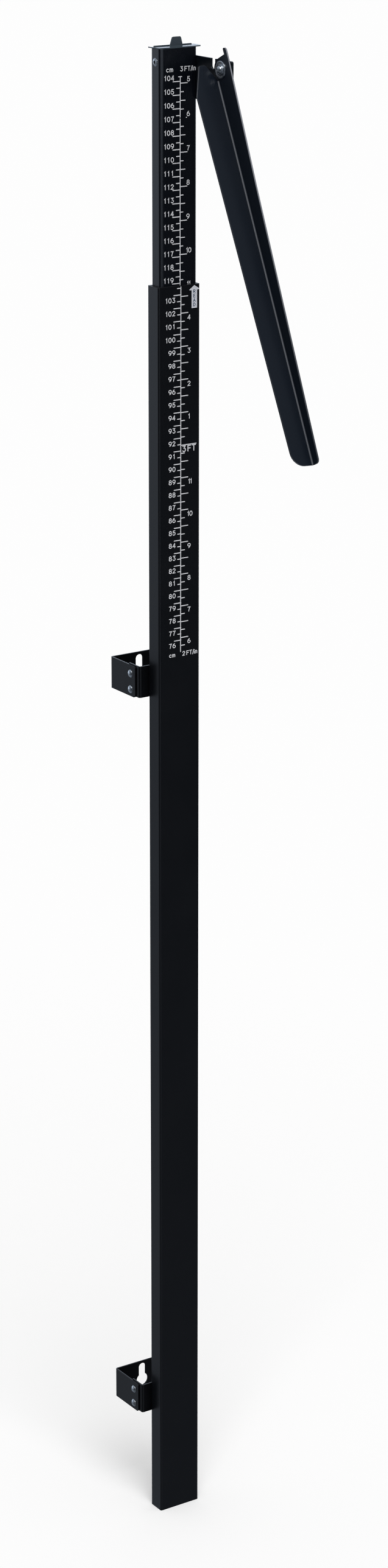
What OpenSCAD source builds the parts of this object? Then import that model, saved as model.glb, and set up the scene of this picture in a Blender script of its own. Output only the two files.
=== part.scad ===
// Wall-mounted mechanical height rod: a flat telescoping tube with a hinged headpiece.
// Millimetres. +Z is up, the scale faces -Y and the wall is at +Y.
// The origin is the centre of the outer tube's bottom end, which is at floor level,
// so a height above the origin is the height that the printed scale reads.

/* [Outer tube] */
// Width of the outer tube across the scale face
outer_w = 37.5; // [34:0.5:44]
// Depth of the outer tube from the scale face to its back
outer_d = 15; // [14:0.5:20]
// Wall of the outer tube
outer_wall = 1; // [0.9:0.1:1.4]
// Length of the outer tube, from the floor to its rim
outer_len = 1037; // [900:1:1200]
// Outside corner radius of the outer tube
outer_corner_r = 1.3; // [1.1:0.1:2.6]

/* [Inner tube] */
// Wall of the inner tube
inner_wall = 1; // [0.8:0.1:1.3]
// Outside corner radius of the inner tube
inner_corner_r = 1.3; // [1.1:0.1:2.8]
// Gap between the two tubes at each side
side_gap = 1.25; // [0.9:0.05:1.5]
// Gap between the two tubes at the scale face
front_gap = 0.6; // [0.35:0.05:0.7]
// Gap between the two tubes at the back, which holds the leaf spring
rear_gap = 1.4; // [1.3:0.05:1.8]
// How far the inner tube's top stands above its lowest mark
head_rise = 24.3; // [22:0.1:30]
// How far the inner tube is drawn out in the pose shown
rest_lift = 151.5; // [100:0.5:900]

/* [Tube ends] */
// Height of the plug that closes the outer tube
plug_h = 20; // [6:1:24]
// Diameter of the rubber buffer on the plug
buffer_d = 8; // [5:0.5:10]
// How far the buffer stands above the plug
buffer_h = 6; // [2:0.5:8]
// How deep the buffer sits in the plug
buffer_seat = 3; // [2:0.5:4]
// Height of the glide's head under the inner tube
glide_head_h = 8; // [6:1:14]
// Depth of the glide's stem inside the inner tube
glide_stem = 22; // [16:1:40]
// Diameter of the pin that holds the glide
glide_pin_d = 3; // [2:0.5:4]
// Height of the nylon liner inside the rim
liner_h = 53; // [46:1:80]
// Width of the liner's window for the leaf spring
window_w = 16; // [14.5:0.5:18]

/* [Leaf spring] */
// Width of the leaf spring
spring_w = 12; // [10:0.5:13.5]
// Thickness of the leaf spring
spring_t = 0.5; // [0.4:0.05:0.6]
// Height of the bowed stretch of the spring
spring_bow_h = 34; // [26:1:36]
// Height of the flat foot of the spring
spring_foot_h = 9; // [8:0.5:9.5]
// Diameter of the rivet through the spring's foot
spring_rivet_d = 3; // [2.5:0.1:3.5]

/* [Top cap] */
// Thickness of the cap's plate
cap_t = 0.8; // [0.8:0.1:1.6]
// How far each wing of the cap reaches past the inner tube
cap_wing = 4.3; // [3:0.1:7]
// Upward tilt of the left wing in degrees
left_wing_tilt = 10; // [2:1:25]
// Upward tilt of the right wing in degrees
right_wing_tilt = 2; // [2:1:25]
// Depth of the cap's plug in the inner tube
cap_plug = 15; // [12:1:18]
// Width of the lug at its base
lug_base_w = 11.8; // [10:0.2:16]
// Width of the lug at its top
lug_top_w = 7.6; // [6:0.2:9.5]
// Height of the lug above the plate
lug_h = 6.5; // [5:0.1:14]
// How far the lug's middle stands to the right on the plate
lug_off = 3.2; // [0:0.2:4]
// How much further to the right the lug's top lies
lug_lean = 1.3; // [0:0.1:2]
// Backward lean of the lug in degrees
lug_tilt = 12; // [0:1:20]
// Distance from the plate's front edge back to the lug
lug_back = 7.1; // [4:0.1:8]
// Corner radius at the lug's top
lug_r = 1.4; // [1:0.1:2.8]
// Corner radius of the left wing
left_wing_r = 3.6; // [1:0.1:4.5]
// Corner radius of the right wing
right_wing_r = 1.6; // [1:0.1:4.5]
// Height of the lip along the plate's back edge
lip_h = 0.7; // [0.4:0.1:2]

/* [Arm] */
// Thickness of the arm's plate
arm_t = 1.6; // [1.4:0.1:2.6]
// How far the arm's top edge lies below the inner tube's top
arm_drop = 6.5; // [5:0.1:7]
// Reach of the arm in front of the inner tube
arm_reach = 46.4; // [46:0.1:70]
// Corner radius at the arm's front end
arm_corner_r = 1.6; // [1:0.2:5]
// Width of the notch in the arm's top edge
notch_w = 5.6; // [2:0.1:7]
// Depth of the notch
notch_depth = 7.8; // [5:0.2:9]
// Distance from the pivot back to the notch
notch_back = 13; // [12.6:0.2:18]
// How far the arm's foot beside the inner tube reaches below its bottom edge
foot_drop = 14; // [4:0.5:20]
// Length of the slope from the arm's foot up to its bottom edge
foot_slope = 18; // [6:0.5:24]
// Height of the arm's locating tab
tab_h = 5; // [3:0.5:6]
// How far the rivet lies below the inner tube's top
arm_rivet_drop = 9.8; // [9.4:0.1:10.4]
// Diameter of the tubular rivet
arm_rivet_d = 4; // [3:0.2:4.6]
// Diameter of the tubular rivet's heads
arm_rivet_head_d = 6.4; // [5.6:0.2:6.8]
// Bore of the tubular rivet
arm_rivet_bore_d = 2.6; // [1.8:0.1:2.7]

/* [Pivot] */
// Distance from the inner tube's front face to the pivot
pivot_reach = 34.7; // [34:0.1:36.6]
// Height of the pivot above the arm's bottom edge
pivot_rise = 11; // [10:0.5:12]
// Diameter of the pivot screw
pivot_d = 5; // [4:0.5:6]
// Outside diameter of the bush in the headpiece
bush_d = 7.6; // [7.2:0.2:9]
// Thickness of the nylon washer between headpiece and arm
pad_t = 0.6; // [0.5:0.1:1.4]
// Diameter of the nylon washer
pad_d = 13; // [11:0.5:14]
// Diameter of the dished washer
dish_d = 13; // [12:0.5:15]
// Height of the dished washer
dish_h = 1.5; // [1.2:0.1:2]
// Diameter of the screw's domed head
screw_head_d = 6; // [5.6:0.2:6.4]
// Height of the screw's domed head
screw_head_h = 2; // [1.4:0.1:2.6]
// Thickness of the spring washer
spring_washer_t = 1; // [0.8:0.1:1.4]
// Width across the flats of the lock nut
nut_af = 8; // [7.5:0.5:11]
// Height of the lock nut
nut_h = 4.4; // [4:0.1:6]

/* [Headpiece] */
// Length of the headpiece from the pivot to its tip
blade_len = 298.5; // [240:0.5:340]
// Thickness of the headpiece's sheet
blade_t = 1.2; // [1:0.1:2]
// Inside radius of the headpiece's fold
blade_bend_r = 1.2; // [0.6:0.1:1.6]
// Distance from the pivot down to the measuring face
blade_drop = 7.6; // [7.4:0.1:8.4]
// Width of the measuring plate near the pivot
plate_hub_w = 23; // [20:0.2:28]
// Width of the measuring plate at its tip
plate_tip_w = 18.1; // [16:0.1:24]
// Corner radius of the measuring plate at its tip
plate_tip_r = 11; // [6:0.5:14]
// How much shorter the measuring plate is on its free side
plate_tip_skew = 1; // [0:0.1:3]
// How far the measuring plate reaches up past the pivot
plate_rise = 6.2; // [4:0.1:8]
// Distance from the fold to the inner corner of the measuring plate's top
plate_top_in = 9.2; // [8:0.1:11]
// Width of the measuring plate's top
plate_top_w = 5.5; // [4.5:0.1:7]
// How far below the pivot the measuring plate has its full width
plate_shoulder = 17.2; // [15:0.1:24]
// Height of the flange above the pivot near the hub
flange_hub = 12.2; // [11.4:0.1:16]
// Height of the flange above the pivot at 90 mm from it
flange_mid = 7.7; // [6:0.1:12]
// Height of the flange above the pivot at its tip
flange_tip = 1; // [0.5:0.1:5]
// Radius of the flange's hub round the pivot
hub_r = 8.7; // [8.5:0.1:9.6]
// Width of the finger at the flange's upper end
finger_w = 3.6; // [3.2:0.1:6]
// How far the finger reaches behind the pivot
finger_reach = 13.2; // [11:0.2:16]
// Angle of the headpiece forward of straight down in the pose shown
blade_angle = 25.4; // [5:0.1:90]

/* [Wall brackets] */
// Gap between the outer tube's back and the wall
wall_gap = 40; // [34:1:60]
// Thickness of the bracket plates
bracket_t = 1.2; // [1:0.1:2]
// Height of each bracket plate
bracket_h = 25.4; // [25:0.2:30]
// Inside bend radius of the bracket plates
bracket_bend_r = 0.6; // [0.4:0.1:1.6]
// Height of the lower bracket's bottom edge above the floor
lower_bracket_z = 88; // [40:1:200]
// Distance between the two brackets
bracket_spacing = 625; // [400:1:650]
// Gap between the outer tube's side and the bracket's side plate
bracket_side = 8.75; // [6:0.05:14]
// Reach of the wall plate across the wall
wall_leg = 38; // [36:0.5:44]
// Reach of the tube plate behind the tube
tube_leg = 40; // [38:0.5:44]
// How far the tube plate is raised on the wall plate
tube_plate_raise = 0.7; // [0:0.1:1.6]
// Distance from the outer tube's back to the rivets in the side plates
side_rivet_back = 11.2; // [10.6:0.1:14]
// How far the wall bracket's side plate reaches in front of the rivets
lap_front = 6.6; // [4.4:0.2:8]
// How far the tube bracket's side plate reaches behind the rivets
lap_back = 3.6; // [3.2:0.2:8]
// Distance from the bracket's left face to the keyhole
keyhole_in = 26.2; // [24:0.2:27]
// Radius of the keyhole's round end
keyhole_r = 5.6; // [4.4:0.1:5.9]
// Width of the keyhole's slot
keyhole_slot_w = 6.6; // [4.4:0.1:7]
// Height of the keyhole's round end above the plate's bottom edge
keyhole_rise = 8; // [7.4:0.1:9]
// Distance between the keyhole's two end centres
keyhole_slot_len = 12; // [10:0.5:12.6]

/* [Bracket rivets] */
// Diameter of the bracket rivets
bracket_rivet_d = 4; // [3:0.2:4.8]
// Diameter of the bracket rivets' heads
bracket_rivet_head_d = 6.4; // [5.6:0.2:7.2]
// Height of the bracket rivets' heads
bracket_rivet_head_h = 1.6; // [1:0.1:2.2]
// Distance between the two rivets in a bracket
bracket_rivet_pitch = 12.8; // [10:0.2:14]
// Distance between the two rivets in the tube's back
tube_rivet_pitch = 18; // [14:0.5:20]
// Diameter of the rivets in the tube's back
tube_rivet_d = 3.2; // [2.6:0.1:3.8]

/* [Clearances] */
// Running clearance of the tubes and glides at each side
slide_clear = 0.1; // [0.05:0.01:0.2]
// Clearance round plugs that sit in a tube
plug_clear = 0.05; // [0.02:0.01:0.1]
// Running clearance at each side of the pivot
pivot_clear = 0.05; // [0.02:0.01:0.09]
// Clearance between faces that turn on each other
face_clear = 0.05; // [0.02:0.01:0.1]

/* [Hidden] */

$fn = 48;
eps = 0.01;
arc_steps = 8;

bore_w = outer_w - 2 * outer_wall;
bore_d = outer_d - 2 * outer_wall;
bore_corner_r = max(outer_corner_r - outer_wall, 0.2);
inner_w = bore_w - 2 * side_gap;
inner_d = bore_d - front_gap - rear_gap;
inner_y = (front_gap - rear_gap) / 2;
inner_front = inner_y - inner_d / 2;
inner_back = inner_y + inner_d / 2;
inner_top = outer_len + head_rise + rest_lift;
glide_gap = 3;
inner_len = outer_len + head_rise + foot_drop - plug_h - buffer_h - glide_gap - glide_head_h;
inner_bottom = inner_top - inner_len;
inner_core_w = inner_w - 2 * inner_wall;
inner_core_d = inner_d - 2 * inner_wall;
inner_core_r = max(inner_corner_r - inner_wall, 0.2);
glide_pin_z = inner_bottom + glide_stem / 2;

arm_x = inner_w / 2;
arm_top = inner_top - arm_drop;
arm_bottom = inner_top - head_rise;
arm_foot = arm_bottom - foot_drop;
arm_front = inner_front - arm_reach;
pivot_y = inner_front - pivot_reach;
pivot_z = arm_bottom + pivot_rise;
arm_rivet_z = inner_top - arm_rivet_drop;
tab_z = arm_bottom + tab_h / 2 + 1.5;

flange_x = arm_x - pad_t;
flange_left = flange_x - blade_t;
dish_x = flange_left - face_clear;
flange_mid_at = 90;
fold_top = 6.5;

wall_y = outer_d / 2 + wall_gap;
tube_side_x = -outer_w / 2 - bracket_side;
wall_side_x = tube_side_x - bracket_t;
bracket_rivet_y = outer_d / 2 + side_rivet_back;
wall_side_front = bracket_rivet_y - lap_front;
tube_side_back = bracket_rivet_y + lap_back;
rivet_low = 5.5;

function unit(v) = v / norm(v);

// Points of the arc of radius r that rounds the corner between two edges
function corner_arc(before, at, after, r) =
    let (to_before = unit(before - at),
        to_after = unit(after - at),
        half = acos(to_before * to_after) / 2,
        middle = at + unit(to_before + to_after) * r / sin(half),
        first = at + to_before * r / tan(half) - middle,
        last = at + to_after * r / tan(half) - middle,
        start = atan2(first.y, first.x),
        turn = (atan2(last.y, last.x) - start + 540) % 360 - 180)
    [for (i = [0 : arc_steps]) middle + r * [cos(start + turn * i / arc_steps),
        sin(start + turn * i / arc_steps)]];

// Outline through corners [x, y, radius], with each corner rounded by its radius
function rounded(corners) =
    let (n = len(corners))
    [for (i = [0 : n - 1])
        let (at = [corners[i].x, corners[i].y],
            before = [corners[(i + n - 1) % n].x, corners[(i + n - 1) % n].y],
            after = [corners[(i + 1) % n].x, corners[(i + 1) % n].y],
            points = corners[i].z > 0 ? corner_arc(before, at, after, corners[i].z) : [at])
        each points];

// Upright bar with rounded corners, centred on Z
module round_bar(w, d, h, r) {
    linear_extrude(h) {
        square([w - 2 * r, d], center = true);
        square([w, d - 2 * r], center = true);
        for (x = [-1, 1], y = [-1, 1])
            translate([x * (w / 2 - r), y * (d / 2 - r)])
                circle(r);
    }
}

// Cylinder along +X
module bar_x(d, h) {
    rotate([0, 90, 0])
        cylinder(d = d, h = h);
}

// Cylinder along +Y
module bar_y(d, h) {
    rotate([-90, 0, 0])
        cylinder(d = d, h = h);
}

// Domed rivet head standing on the plane z = 0
module dome(d, h) {
    r = (h * h + d * d / 4) / (2 * h);
    intersection() {
        translate([0, 0, h - r])
            sphere(r, $fn = 64);
        cylinder(d = d + 1, h = h + 1);
    }
}

// Extrudes an outline of [y, z] points along +X from x
module plate_x(x, t) {
    translate([x, 0, 0])
        rotate([90, 0, 90])
            linear_extrude(t)
                children();
}

// Places of the rivets in one bracket's side plates, measured from the bracket's bottom
bracket_rivets = [[bracket_rivet_y, rivet_low], [bracket_rivet_y, rivet_low + bracket_rivet_pitch]];
// Places of the rivets in the tube's back, across the tube
tube_rivets = [-tube_rivet_pitch / 2, tube_rivet_pitch / 2];
// Height of the tube rivets above the bracket's bottom
tube_rivet_rise = tube_plate_raise + bracket_h / 2;
spring_z = outer_len - liner_h + 4;
spring_rivet_z = spring_z + spring_foot_h / 2;

module outer_tube() {
    color([0.045, 0.045, 0.05])
        difference() {
            round_bar(outer_w, outer_d, outer_len, outer_corner_r);
            translate([0, 0, -eps])
                round_bar(bore_w, bore_d, outer_len + 2 * eps, bore_corner_r);
            for (z = [lower_bracket_z, lower_bracket_z + bracket_spacing], x = tube_rivets)
                translate([x, bore_d / 2 - eps, z + tube_rivet_rise])
                    bar_y(tube_rivet_d, outer_wall + 2 * eps);
            translate([0, bore_d / 2 - eps, spring_rivet_z])
                bar_y(spring_rivet_d, outer_wall + 2 * eps);
        }
}

module bottom_plug() {
    color([0.08, 0.08, 0.08])
        difference() {
            round_bar(bore_w - 2 * plug_clear, bore_d - 2 * plug_clear, plug_h, bore_corner_r);
            translate([0, 0, plug_h - buffer_seat])
                cylinder(d = buffer_d, h = buffer_seat + eps);
        }
}

module plug_buffer() {
    color([0.12, 0.12, 0.12])
        translate([0, 0, plug_h - buffer_seat])
            cylinder(d = buffer_d - 2 * plug_clear, h = buffer_seat + buffer_h);
}

module rim_liner() {
    color([0.12, 0.12, 0.13])
        translate([0, 0, outer_len - liner_h])
            difference() {
                round_bar(bore_w, bore_d, liner_h, bore_corner_r);
                translate([0, inner_y, -eps])
                    round_bar(inner_w + 2 * slide_clear, inner_d + 2 * slide_clear,
                        liner_h + 2 * eps, inner_corner_r);
                translate([-window_w / 2, 0, -eps])
                    cube([window_w, bore_d, liner_h + 2 * eps]);
            }
}

// Bowed strip riveted by its foot to the tube's back wall, pressing the inner tube forward
module leaf_spring() {
    crest = rear_gap - face_clear - spring_t;
    bow_r = (spring_bow_h * spring_bow_h / 4 + crest * crest) / (2 * crest);
    bow_z = spring_z + spring_foot_h + spring_bow_h / 2;
    color([0.6, 0.6, 0.62])
        translate([-spring_w / 2, bore_d / 2, 0]) {
            difference() {
                translate([0, -spring_t, spring_z])
                    cube([spring_w, spring_t, spring_foot_h + 1.2]);
                translate([spring_w / 2, -spring_t - eps, spring_rivet_z])
                    bar_y(spring_rivet_d, spring_t + 2 * eps);
            }
            intersection() {
                translate([0, bow_r - crest, bow_z])
                    difference() {
                        bar_x(2 * (bow_r + spring_t), spring_w, $fn = 360);
                        translate([-eps, 0, 0])
                            bar_x(2 * bow_r, spring_w + 2 * eps, $fn = 360);
                    }
                translate([-1, -rear_gap, bow_z - spring_bow_h / 2])
                    cube([spring_w + 2, rear_gap, spring_bow_h]);
            }
        }
}

module spring_rivet() {
    head_t = 0.4;
    color([0.62, 0.63, 0.65])
        translate([0, bore_d / 2 - spring_t, spring_rivet_z]) {
            bar_y(spring_rivet_d, spring_t + outer_wall);
            translate([0, -head_t, 0])
                bar_y(spring_rivet_d + 2, head_t);
            translate([0, spring_t + outer_wall, 0])
                rotate([-90, 0, 0])
                    dome(spring_rivet_d + 2, 1);
        }
}

// Angle with its corner at the origin: one leg along +X, the other along y_dir
module angle_plate(leg_x, leg_y, y_dir) {
    linear_extrude(bracket_h)
        polygon(rounded([[0, 0, bracket_bend_r + bracket_t],
            [leg_x, 0, 0],
            [leg_x, y_dir * bracket_t, 0],
            [bracket_t, y_dir * bracket_t, bracket_bend_r],
            [bracket_t, y_dir * leg_y, 0],
            [0, y_dir * leg_y, 0]]));
}

// Plate that screws to the wall through a keyhole, with its side plate coming forward
module wall_bracket(z) {
    keyhole_x = wall_side_x + keyhole_in;
    front_r = 2;
    side_len = wall_y - wall_side_front;
    color([0.06, 0.06, 0.07])
        translate([0, 0, z])
            difference() {
                translate([wall_side_x, wall_y, 0])
                    angle_plate(wall_leg, side_len, -1);
                translate([keyhole_x, wall_y - bracket_t - eps, keyhole_rise]) {
                    bar_y(2 * keyhole_r, bracket_t + 2 * eps);
                    translate([0, 0, keyhole_slot_len])
                        bar_y(keyhole_slot_w, bracket_t + 2 * eps);
                    translate([-keyhole_slot_w / 2, 0, 0])
                        cube([keyhole_slot_w, bracket_t + 2 * eps, keyhole_slot_len]);
                }
                for (p = bracket_rivets)
                    translate([wall_side_x - eps, p.x, p.y])
                        bar_x(bracket_rivet_d, bracket_t + 2 * eps);
                for (top = [0, 1])
                    translate([wall_side_x - eps, wall_side_front, top * bracket_h])
                        rotate([90, 0, 90])
                            linear_extrude(bracket_t + 2 * eps)
                                corner_cut(front_r, 1 - 2 * top);
            }
}

// Square corner less its round, to be cut from a plate's corner; up is 1 or -1
module corner_cut(r, up) {
    difference() {
        translate([-eps, up > 0 ? -eps : -r])
            square([r + eps, r + eps]);
        translate([r, up * r])
            circle(r);
    }
}

// Plate across the tube's back, with its side plate running back along the wall bracket's
module tube_bracket(z) {
    side_len = tube_side_back - outer_d / 2;
    color([0.05, 0.05, 0.06])
        difference() {
            translate([tube_side_x, outer_d / 2, z + tube_plate_raise])
                angle_plate(tube_leg, side_len, 1);
            for (p = bracket_rivets)
                translate([tube_side_x - eps, p.x, z + p.y])
                    bar_x(bracket_rivet_d, bracket_t + 2 * eps);
            for (x = tube_rivets)
                translate([x, outer_d / 2 - eps, z + tube_rivet_rise])
                    bar_y(tube_rivet_d, bracket_t + 2 * eps);
        }
}

// Rivets that join the two side plates
module bracket_rivet_pair(z) {
    tail_h = 1;
    color([0.72, 0.73, 0.75])
        for (p = bracket_rivets)
            translate([wall_side_x, p.x, z + p.y]) {
                bar_x(bracket_rivet_d, 2 * bracket_t);
                rotate([0, -90, 0])
                    dome(bracket_rivet_head_d, bracket_rivet_head_h);
                translate([2 * bracket_t, 0, 0])
                    bar_x(bracket_rivet_d + 1.6, tail_h);
            }
}

// Rivets that hold the tube plate, peened flush inside the tube
module tube_rivet_pair(z) {
    head_h = 1.2;
    color([0.05, 0.05, 0.06])
        for (x = tube_rivets)
            translate([x, bore_d / 2, z + tube_rivet_rise]) {
                bar_y(tube_rivet_d, outer_wall + bracket_t);
                translate([0, outer_wall + bracket_t, 0])
                    rotate([-90, 0, 0])
                        dome(tube_rivet_d + 2.4, head_h);
            }
}

module inner_tube() {
    color([0.04, 0.04, 0.045])
        difference() {
            translate([0, inner_y, inner_bottom])
                round_bar(inner_w, inner_d, inner_len, inner_corner_r);
            translate([0, inner_y, inner_bottom - eps])
                round_bar(inner_core_w, inner_core_d, inner_len + 2 * eps, inner_core_r);
            translate([-inner_w / 2 - eps, inner_y, arm_rivet_z])
                bar_x(arm_rivet_d, inner_w + 2 * eps);
            translate([-inner_w / 2 - eps, inner_y, glide_pin_z])
                bar_x(glide_pin_d, inner_w + 2 * eps);
            translate([inner_w / 2 - inner_wall - eps, inner_y - arm_t / 2, tab_z - tab_h / 2])
                cube([inner_wall + 2 * eps, arm_t, tab_h]);
        }
}

// Nylon foot of the inner tube, which slides in the outer tube and stops under the rim liner
module lower_glide() {
    color([0.75, 0.75, 0.72])
        difference() {
            union() {
                translate([0, 0, inner_bottom - glide_head_h])
                    round_bar(bore_w - 2 * slide_clear, bore_d - 2 * slide_clear, glide_head_h,
                        bore_corner_r);
                translate([0, inner_y, inner_bottom - eps])
                    round_bar(inner_core_w - 2 * plug_clear, inner_core_d - 2 * plug_clear,
                        glide_stem, inner_core_r);
            }
            translate([-inner_w / 2, inner_y, glide_pin_z])
                bar_x(glide_pin_d, inner_w);
        }
}

module glide_pin() {
    color([0.6, 0.6, 0.62])
        translate([-inner_w / 2 + plug_clear, inner_y, glide_pin_z])
            bar_x(glide_pin_d, inner_w - 2 * plug_clear);
}

// Place in the cap's profile, u along a wing from the inner tube's side and v square to it
function wing_at(side, tilt, u, v) =
    [side * (inner_w / 2 + u * cos(tilt) - v * sin(tilt)), u * sin(tilt) + v * cos(tilt), 0];

// Cap's plate seen from the front, with both wings tilted up past the inner tube's sides
module cap_profile() {
    polygon(rounded([wing_at(-1, left_wing_tilt, cap_wing, 0),
        [-inner_w / 2, 0, cap_t + 1],
        [inner_w / 2, 0, cap_t + 1],
        wing_at(1, right_wing_tilt, cap_wing, 0),
        wing_at(1, right_wing_tilt, cap_wing, cap_t),
        [inner_w / 2 - cap_t * tan(right_wing_tilt / 2), cap_t, 1],
        [-inner_w / 2 + cap_t * tan(left_wing_tilt / 2), cap_t, 1],
        wing_at(-1, left_wing_tilt, cap_wing, cap_t)]));
}

// Cap's plate seen from above
module cap_plan() {
    half_w = inner_w / 2 + cap_wing;
    polygon(rounded([[-half_w, inner_front, left_wing_r],
        [half_w, inner_front, right_wing_r],
        [half_w, inner_back, right_wing_r],
        [-half_w, inner_back, left_wing_r]]));
}

// Lip along the cap's back edge, seen from the front
module lip_profile() {
    polygon(rounded([[-inner_w / 2 + 2, 0, 0],
        [inner_w / 2 + 2.6, cap_t / 2, 0],
        [inner_w / 2 + 2.6, cap_t + lip_h, 0.9],
        [-inner_w / 2 + 2, cap_t + lip_h, 0.6]]));
}

// Lug seen from the front, narrowing upwards from the cap's plate
module lug_profile() {
    polygon(rounded([[lug_off - lug_base_w / 2, 0, 0],
        [lug_off + lug_base_w / 2, 0, 0],
        [lug_off + lug_lean + lug_top_w / 2, cap_t + lug_h, lug_r],
        [lug_off + lug_lean - lug_top_w / 2, cap_t + lug_h, lug_r]]));
}

module top_cap() {
    color([0.06, 0.07, 0.075])
        difference() {
            union() {
                intersection() {
                    translate([0, inner_back, inner_top])
                        rotate([90, 0, 0])
                            linear_extrude(inner_d)
                                cap_profile();
                    translate([0, 0, inner_top])
                        linear_extrude(cap_wing + cap_t)
                            cap_plan();
                }
                translate([0, inner_back, inner_top])
                    rotate([90, 0, 0])
                        linear_extrude(cap_t)
                            lip_profile();
                translate([0, inner_front + lug_back + cap_t, inner_top])
                    rotate([90 - lug_tilt, 0, 0])
                        linear_extrude(cap_t)
                            lug_profile();
                translate([0, inner_y, inner_top - cap_plug])
                    round_bar(inner_core_w - 2 * plug_clear, inner_core_d - 2 * plug_clear,
                        cap_plug + cap_t / 2, inner_core_r);
            }
            translate([-inner_w / 2, inner_y, arm_rivet_z])
                bar_x(arm_rivet_d, inner_w);
        }
}

module arm_plate() {
    tab_x = arm_x - inner_wall;
    tail = inner_back - 1.5;
    color([0.05, 0.05, 0.055]) {
        difference() {
            plate_x(arm_x, arm_t)
                difference() {
                    polygon(rounded([[arm_front, arm_bottom, 2 * arm_corner_r],
                        [inner_front - foot_slope, arm_bottom, 4],
                        [inner_front, arm_foot, 1],
                        [tail, arm_foot, 1],
                        [tail, arm_top, 1],
                        [arm_front, arm_top, arm_corner_r]]));
                    translate([pivot_y + notch_back, arm_top - notch_depth + notch_w / 2])
                        circle(d = notch_w);
                    translate([pivot_y + notch_back - notch_w / 2,
                        arm_top - notch_depth + notch_w / 2])
                        square([notch_w, notch_depth]);
                }
            translate([arm_x - eps, pivot_y, pivot_z])
                bar_x(pivot_d, arm_t + 2 * eps);
            translate([arm_x - eps, inner_y, arm_rivet_z])
                bar_x(arm_rivet_d, arm_t + 2 * eps);
        }
        translate([tab_x, inner_y - arm_t / 2 + plug_clear, tab_z - tab_h / 2 + plug_clear])
            cube([inner_wall + arm_t / 2, arm_t - 2 * plug_clear, tab_h - 2 * plug_clear]);
    }
}

// Tubular rivet through the inner tube, the cap's plug and the arm
module arm_rivet() {
    head_h = 0.9;
    span = inner_w + arm_t;
    color([0.72, 0.73, 0.75])
        translate([-inner_w / 2, inner_y, arm_rivet_z])
            difference() {
                union() {
                    bar_x(arm_rivet_d, span);
                    rotate([0, -90, 0])
                        dome(arm_rivet_head_d, head_h);
                    translate([span, 0, 0])
                        rotate([0, 90, 0])
                            dome(arm_rivet_head_d, head_h);
                }
                translate([-head_h - 1, 0, 0])
                    bar_x(arm_rivet_bore_d, span + 2 * head_h + 2);
            }
}

// Screw with a domed head, through the dished washer, the bush, the nylon washer and the arm
module pivot_screw() {
    seat_x = dish_x - dish_h;
    past_nut = 0.4;
    end_x = arm_x + arm_t + spring_washer_t + nut_h + past_nut;
    dimple_d = 2;
    color([0.72, 0.73, 0.75])
        translate([seat_x, pivot_y, pivot_z])
            difference() {
                union() {
                    bar_x(pivot_d, end_x - seat_x);
                    rotate([0, -90, 0])
                        dome(screw_head_d, screw_head_h);
                }
                translate([-screw_head_h - eps, 0, 0])
                    bar_x(dimple_d, screw_head_h / 2);
            }
}

// Pressed washer with a raised rim, a groove and a raised middle that seats the screw's head
module dished_washer() {
    r = dish_d / 2;
    bore_r = pivot_d / 2;
    rim = 0.5;
    color([0.7, 0.71, 0.73])
        translate([dish_x, pivot_y, pivot_z])
            rotate([0, -90, 0])
                rotate_extrude()
                    polygon([[bore_r, 0],
                        [r, 0],
                        [r, rim],
                        [r - 0.4, 1.6 * rim],
                        [r - 1.1, 1.6 * rim],
                        [r - 1.9, rim],
                        [r - 2.5, rim],
                        [bore_r + 1.3, dish_h],
                        [bore_r, dish_h]]);
}

module friction_pad() {
    color([0.8, 0.8, 0.77])
        translate([flange_x + face_clear, pivot_y, pivot_z])
            difference() {
                bar_x(pad_d, pad_t - face_clear);
                translate([-eps, 0, 0])
                    bar_x(pivot_d, pad_t + 2 * eps);
            }
}

// Split spring washer under the nut
module spring_washer() {
    split = 0.8;
    color([0.6, 0.6, 0.62])
        translate([arm_x + arm_t, pivot_y, pivot_z])
            difference() {
                bar_x(nut_af + 1, spring_washer_t);
                translate([-eps, 0, 0])
                    bar_x(pivot_d, spring_washer_t + 2 * eps);
                translate([-eps, -nut_af, -split / 2])
                    cube([spring_washer_t + 2 * eps, nut_af, split]);
            }
}

// Hexagon lock nut with a round nylon collar
module lock_nut() {
    collar_h = 1.4;
    color([0.7, 0.71, 0.73])
        translate([arm_x + arm_t + spring_washer_t, pivot_y, pivot_z])
            difference() {
                union() {
                    rotate([0, 90, 0])
                        cylinder(d = nut_af / cos(30), h = nut_h - collar_h, $fn = 6);
                    bar_x(nut_af - 0.6, nut_h);
                }
                translate([-eps, 0, 0])
                    bar_x(pivot_d, nut_h + 2 * eps);
            }
}

// Everything below turns about the pivot; children are drawn with the headpiece hanging
// straight down from the pivot, with its flange towards -Y
module at_pivot() {
    translate([0, pivot_y, pivot_z])
        rotate([-blade_angle, 0, 0])
            children();
}

// Flange in the plane of the arm: [y, z] points round the hub, the finger and the long edge
module flange_outline() {
    finger_y = -flange_hub + finger_w;
    end_r = 3.5;
    circle(hub_r);
    polygon(rounded([[0, hub_r, 0],
        [finger_y, hub_r, 0],
        [finger_y, finger_reach, 0.8],
        [-flange_hub, finger_reach, 2.6],
        [-flange_hub, 3.5, 0],
        [-flange_hub + 0.9, -12, 0],
        [-flange_mid, -flange_mid_at, 0],
        [-flange_tip, -blade_len, end_r],
        [blade_drop, -blade_len, 0],
        [blade_drop, -3, 0],
        [0, 0, 0]]));
}

// Measuring plate seen from the front: [x, z] points, with the fold at flange_x
module measuring_outline() {
    polygon(rounded([[flange_x, -fold_top, 0],
        [flange_left, -fold_top, 0],
        [flange_x - plate_top_in, plate_rise, 2.4],
        [flange_x - plate_top_in - plate_top_w, plate_rise, 2],
        [flange_x - plate_hub_w, -plate_shoulder, 3],
        [flange_x - plate_tip_w, -blade_len + plate_tip_skew, plate_tip_r],
        [flange_x, -blade_len, 0]]));
}

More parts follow.
